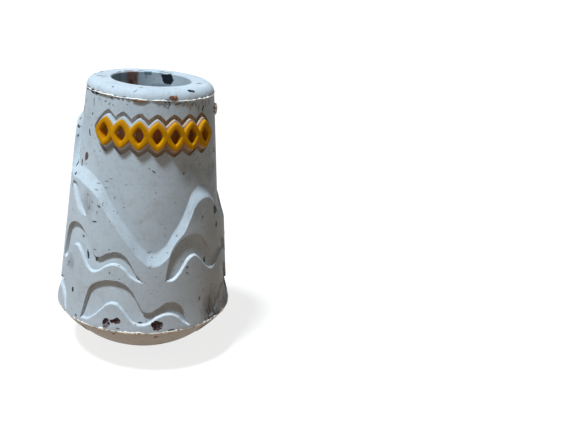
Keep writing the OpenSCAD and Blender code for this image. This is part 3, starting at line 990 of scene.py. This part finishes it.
def sole_lugs():
    """Low three-cornered lugs in the corners of the pocket, and crescents before the petals."""
    tree = Shape("sole_lugs")
    drop = tree.size("Drop", lug_drop)
    soft = tree.size("Rounding", lug_soft)

    def stand(grid, x, y, rounding):
        """Sets the outline upright between the lugs' root and the sphere of the sole."""
        far = (x * x + y * y).at_most(lug_reach ** 2)
        top = sphere(dome_centre, dome_r - drop, far)
        height = (top + rounding).at_most(-lug_root)
        return tree.close(tree.put(grid, tree.xyz(x, y, height)))

    def lug(corners):
        points = [Vector(tree_point(angle, radius, 0)) for angle, radius in corners]
        centre = sum(points, Vector()) / 3
        grid, angle, row = net(tree, 14, 72)
        turned = angle * DEGREE
        sides = []
        for here, after in zip(points, points[1:] + points[:1]):
            outward = (after - here).cross(UP).normalized()
            reach = (here - centre).dot(outward)
            if reach < 0:
                outward = -outward
                reach = -reach
            facing = (turned - math.atan2(outward.y, outward.x)).cos()
            sides.append(facing.at_least(0.0) / reach)
        outline = 1 / sum(side ** lug_sharpness for side in sides) ** (1 / lug_sharpness)
        turn = row.ramp(4, 9) * (math.pi / 2)
        radius = row.ramp(0, 4) * (outline - soft) + turn.sin() * soft
        rounding = (1 - turn.cos()) * soft + row.ramp(9, 14) * lug_skirt
        x = turned.cos() * radius + centre.x
        y = turned.sin() * radius + centre.y
        return stand(grid, x, y, rounding)

    def crescent():
        grid, angle, row = net(tree, 12, 96)
        turned = angle * DEGREE
        share = turned.cos()
        side = (turned.sin() * 4).at_most(1.0).at_least(-1.0)
        half = (crescent_outer - crescent_inner) / 2 * (1 - share ** 4)
        bow = row.ramp(0, 7) * (math.pi / 2)
        radius = crescent_outer - half + half * side * bow.sin() ** 0.6
        rounding = (1 - bow.cos()) * soft + row.ramp(7, 12) * lug_skirt
        x, y, _ = tree.split(tree.place(share * crescent_reach, radius, 0.0))
        return stand(grid, x, y, rounding)

    whole = tree.join(*[tree.round_axis(one, 4) for one in (lug(left_lug), lug(right_lug), crescent())])
    return tree.make(tree.shade(whole), white)


def pip():
    """Low round pip on the neck."""
    tree = Shape("pip")
    radius = tree.size("Radius", pip_r)
    proud = tree.size("Proud", pip_proud)
    grid, angle, row = net(tree, 12, 48)
    bow = row.ramp(0, 8) * (math.pi / 2)
    x, y, _ = tree.split(tree.place(angle, bow.sin() ** 0.7 * radius, 0.0))
    raised = tree.close(tree.put(grid, tree.xyz(x, y, bow.cos() ** 0.7 * proud - row.ramp(8, 12))))
    upright = tree.moved(raised, (0, -neck_at(pip_height), pip_height), (90 * DEGREE, 0, 0))
    turned = tree.moved(upright, turn=(0, 0, pip_angle * DEGREE))
    # Painted light: the shaded pip is given the paler fin rubber
    return tree.make(tree.shade(turned), fin_white_and_pip_light)


def flash(name, radius, height, proud, thick, lean, swell):
    """Thin ragged fin where the mould's halves met, which comes and goes."""
    tree = Shape(name)
    reach = tree.size("Proud", proud)
    half = tree.size("Half Thickness", thick)
    grid, angle, row = net(tree, 10, 720)
    round_way = tree.place(angle, radius, 0.0)
    fine = tree.noise(1.1, 5, round_way)
    broad = tree.noise(0.25, 3, round_way)
    out = reach * (0.62 + broad * 2.6 + fine * 2.4).at_most(1.0).at_least(0.02)
    half = half * (0.8 + broad * swell + fine * 2.4).at_least(0.25).at_most(2.2)
    turn = row * (2 * math.pi / 10)
    along = radius - fin_root + (out + fin_root) * turn.cos().at_least(-0.3)
    level = height + turn.sin() * half + broad * 0.5 + fine * 0.2 + out * lean
    ring = tree.close(tree.put(grid, tree.place(angle, along, level)))
    return tree.make(tree.shade(ring, 60), fin_white_and_pip_light)


def skin_point(angle, height):
    """A place just above the skin; past the mouth's height it moves in along the ring."""
    if height > flank_h:
        return tree_point(angle, shoulder_r - height + flank_h, flank_h)
    return tree_point(angle, neck_at(height) + 0.8, height)


def crumbs(name, material, clear, faint, density, seed, thick=0.05):
    """Flat crumbs of other rubber in the skin: some listed one by one, clear or faint, the rest scattered.
    """
    by_hand = clear + faint
    veils = [max(0, clear_veil - length * width) for _, _, length, width, _ in clear]
    veils += [faint_veil] * len(faint)
    base = bpy.data.meshes.new(name)
    base.from_pydata([skin_point(angle, height) for angle, height, *_ in by_hand], [], [])
    base.attributes.new("grain", "FLOAT_VECTOR", "POINT")
    base.attributes.new("veil", "FLOAT", "POINT")
    for number, (_, _, length, width, turn) in enumerate(by_hand):
        base.attributes["grain"].data[number].vector = (length / 2, width / 2, turn * DEGREE)
        base.attributes["veil"].data[number].value = veils[number]

    tree = Shape(name, mesh=True)
    skin = tree.piece(shell)
    lift = tree.size("Thickness", thick)
    per_area = tree.size("Crumbs per Square Millimetre", density)

    def chance(low, high, key):
        return tree.add("FunctionNodeRandomValue", low, high, None, seed + key, data_type="FLOAT")

    def grown(points, fineness):
        """Turns the points into flat crumbs that follow the skin."""
        half_length, half_width, turn = tree.split(tree.named("grain", "FLOAT_VECTOR"))
        ball = tree.add("GeometryNodeMeshIcoSphere", 1.0, fineness)
        ball = tree.store(ball, "lift", tree.split(tree.position())[2])
        outward = tree.nearest(skin, tree.normal())
        sideways = tree.vector("CROSS_PRODUCT", UP, tree.position())
        flat = tree.add(
            "FunctionNodeAxesToRotation", outward, sideways, primary_axis="Z", secondary_axis="X")
        turned = tree.add(
            "FunctionNodeRotateRotation", flat, tree.upright_turn(turn), rotation_space="LOCAL")
        scale = tree.xyz(half_length, half_width, crumb_flatness)
        made = tree.add("GeometryNodeInstanceOnPoints", points, None, ball, None, None, turned, scale)
        made = tree.add("GeometryNodeRealizeInstances", made)
        made = tree.ragged(made, 0.5 / half_width, 2, half_width * 2.4)
        level = tree.named("lift")
        rise = level.sign() * abs(level) ** 0.5 * lift
        stand = tree.vector("SCALE", tree.nearest(skin, tree.normal()), rise)
        return tree.put(made, tree.vector("ADD", tree.nearest(skin, tree.position()), stand))

    # Scattered ones keep out of the bore and off the face that stands on the floor
    x, y, z = tree.split(tree.position())
    past_bore = (x * x + y * y).above((bore_r + bore_clearance) ** 2)
    on_sole = z.below(0.0) * z.above(face_clearance - sole_h)
    where = past_bore.at_least(on_sole)
    strewn = tree.add("GeometryNodeDistributePointsOnFaces", skin, where, per_area, seed)
    length = least_length + chance(0.0, 1.0, 1) ** 4 * (most_length - least_length)
    width = chance(*crumb_width, 2).at_most(length)
    strewn = tree.store(strewn, "grain", tree.xyz(length, width, chance(0.0, math.pi, 3)), "FLOAT_VECTOR")
    strewn = tree.store(strewn, "veil", 1 - chance(0.0, 1.0, 4) ** 2 * 0.8)
    whole = tree.join(grown(tree.add("GeometryNodeMeshToPoints", tree.given), 3), grown(strewn, 1))
    return tree.make(tree.shade(whole, 60), material, base=base)


shell = body()
band()
band_lip()
sole_lugs()
pip()
flash("shoulder_flash", radius=shoulder_r, height=shoulder_z, proud=0.42, thick=0.14, lean=0.2, swell=2)
flash("rim_flash", radius=shell_r - 0.02, height=0.1, proud=0.13, thick=0.32, lean=-0.3, swell=2.5)
crumbs("dark_crumbs", teal_crumb, flank_crumbs + mouth_crumbs, faint_crumbs, density=0.035, seed=11)
crumbs("brown_crumbs", brown_crumb, flank_stains, faint_stains, density=0.01, seed=23)
crumbs("blister", amber_crumb, blisters, [], density=0.0, seed=31, thick=0.4)


# ------------------------------------------------------------ floor, light

def seen_plainly(tree):
    """1 for the camera and for what gloss or glass shows, and 0 for the light that falls on the object."""
    path = tree.add("ShaderNodeLightPath")
    return (path + path.other("Is Glossy Ray") + path.other("Is Transmission Ray")).at_most(1)


def floor():
    """Pale floor, clear from below. The light that it throws on the object is warm."""
    mesh = bpy.data.meshes.new("floor")
    corners = [(x * floor_half, y * floor_half, 0) for x, y in ((-1, -1), (1, -1), (1, 1), (-1, 1))]
    mesh.from_pydata(corners, [], [(0, 1, 2, 3)])
    plane = bpy.data.objects.new("floor", mesh)
    plane.location.z = -floor_gap * MM
    scene.collection.objects.link(plane)
    material = bpy.data.materials.new("floor")
    material.use_nodes = True
    tree = Tree(material.node_tree)
    away = tree.vector("LENGTH", tree.add("ShaderNodeTexCoord").other("Object"))
    tint = tree.blend(away.ramp(*[limit * MM for limit in floor_fade]), floor_near, floor_far)
    cast = tree.add("ShaderNodeBsdfDiffuse", tint)
    bright = tree.add(
        "ShaderNodeAddShader", tree.add("ShaderNodeBsdfDiffuse", floor_shade),
        tree.add("ShaderNodeEmission", plain_white, floor_glow))
    shown = tree.add("ShaderNodeMixShader", seen_plainly(tree), cast, bright)
    from_below = tree.add("ShaderNodeNewGeometry").other("Backfacing")
    shown = tree.add("ShaderNodeMixShader", from_below, shown, tree.add("ShaderNodeBsdfTransparent"))
    tree.plug(shown, material.node_tree.nodes["Material Output"].inputs["Surface"])
    mesh.materials.append(material)


def world():
    """White to look at. The light that it gives is faint and warm, and weaker from the right."""
    made = bpy.data.worlds.new("studio")
    made.use_nodes = True
    scene.world = made
    tree = Tree(made.node_tree)
    to_right, _, _ = tree.split(tree.add("ShaderNodeTexCoord"))
    light = tree.blend(to_right.ramp(0.2, 0.95), sky_left, sky_right)
    lit = tree.add("ShaderNodeBackground", light, sky_strength)
    shown = tree.add("ShaderNodeBackground", plain_white, 1)
    mixed = tree.add("ShaderNodeMixShader", seen_plainly(tree), lit, shown)
    tree.plug(mixed, made.node_tree.nodes["World Output"].inputs["Surface"])


def lamp(name, towards, strength, angle):
    """A distant light; a wide angle makes it soft."""
    data = bpy.data.lights.new(name, "SUN")
    data.energy = strength
    data.angle = angle * DEGREE
    data.color = lamp_colour
    made = bpy.data.objects.new(name, data)
    scene.collection.objects.link(made)
    made.rotation_mode = "QUATERNION"
    made.rotation_quaternion = Vector(towards).to_track_quat("Z", "Y")


def camera():
    """A camera turned by a yaw, a pitch and a roll, in radians."""
    data = bpy.data.cameras.new("camera")
    data.sensor_width = 36
    data.lens = focal_pixels * data.sensor_width / render_w
    data.clip_start = 0.01
    data.clip_end = 20
    made = bpy.data.objects.new("camera", data)
    scene.collection.objects.link(made)
    made.location = Vector(camera_place) * MM
    forward = Vector((math.sin(yaw) * math.cos(pitch), math.cos(yaw) * math.cos(pitch), -math.sin(pitch)))
    right = Vector((math.cos(yaw), -math.sin(yaw), 0))
    level = math.cos(roll) * right + math.sin(roll) * right.cross(forward)
    upright = level.cross(forward)
    made.rotation_mode = "QUATERNION"
    made.rotation_quaternion = Matrix((level, upright, -forward)).transposed().to_quaternion()
    scene.camera = made


floor()
world()
lamp("key", (-0.295, -0.225, 0.929), strength=3.8, angle=8)
lamp("side", (-1, -0.15, 0.25), strength=0.3, angle=60)
camera()
scene.view_settings.view_transform = "Standard"
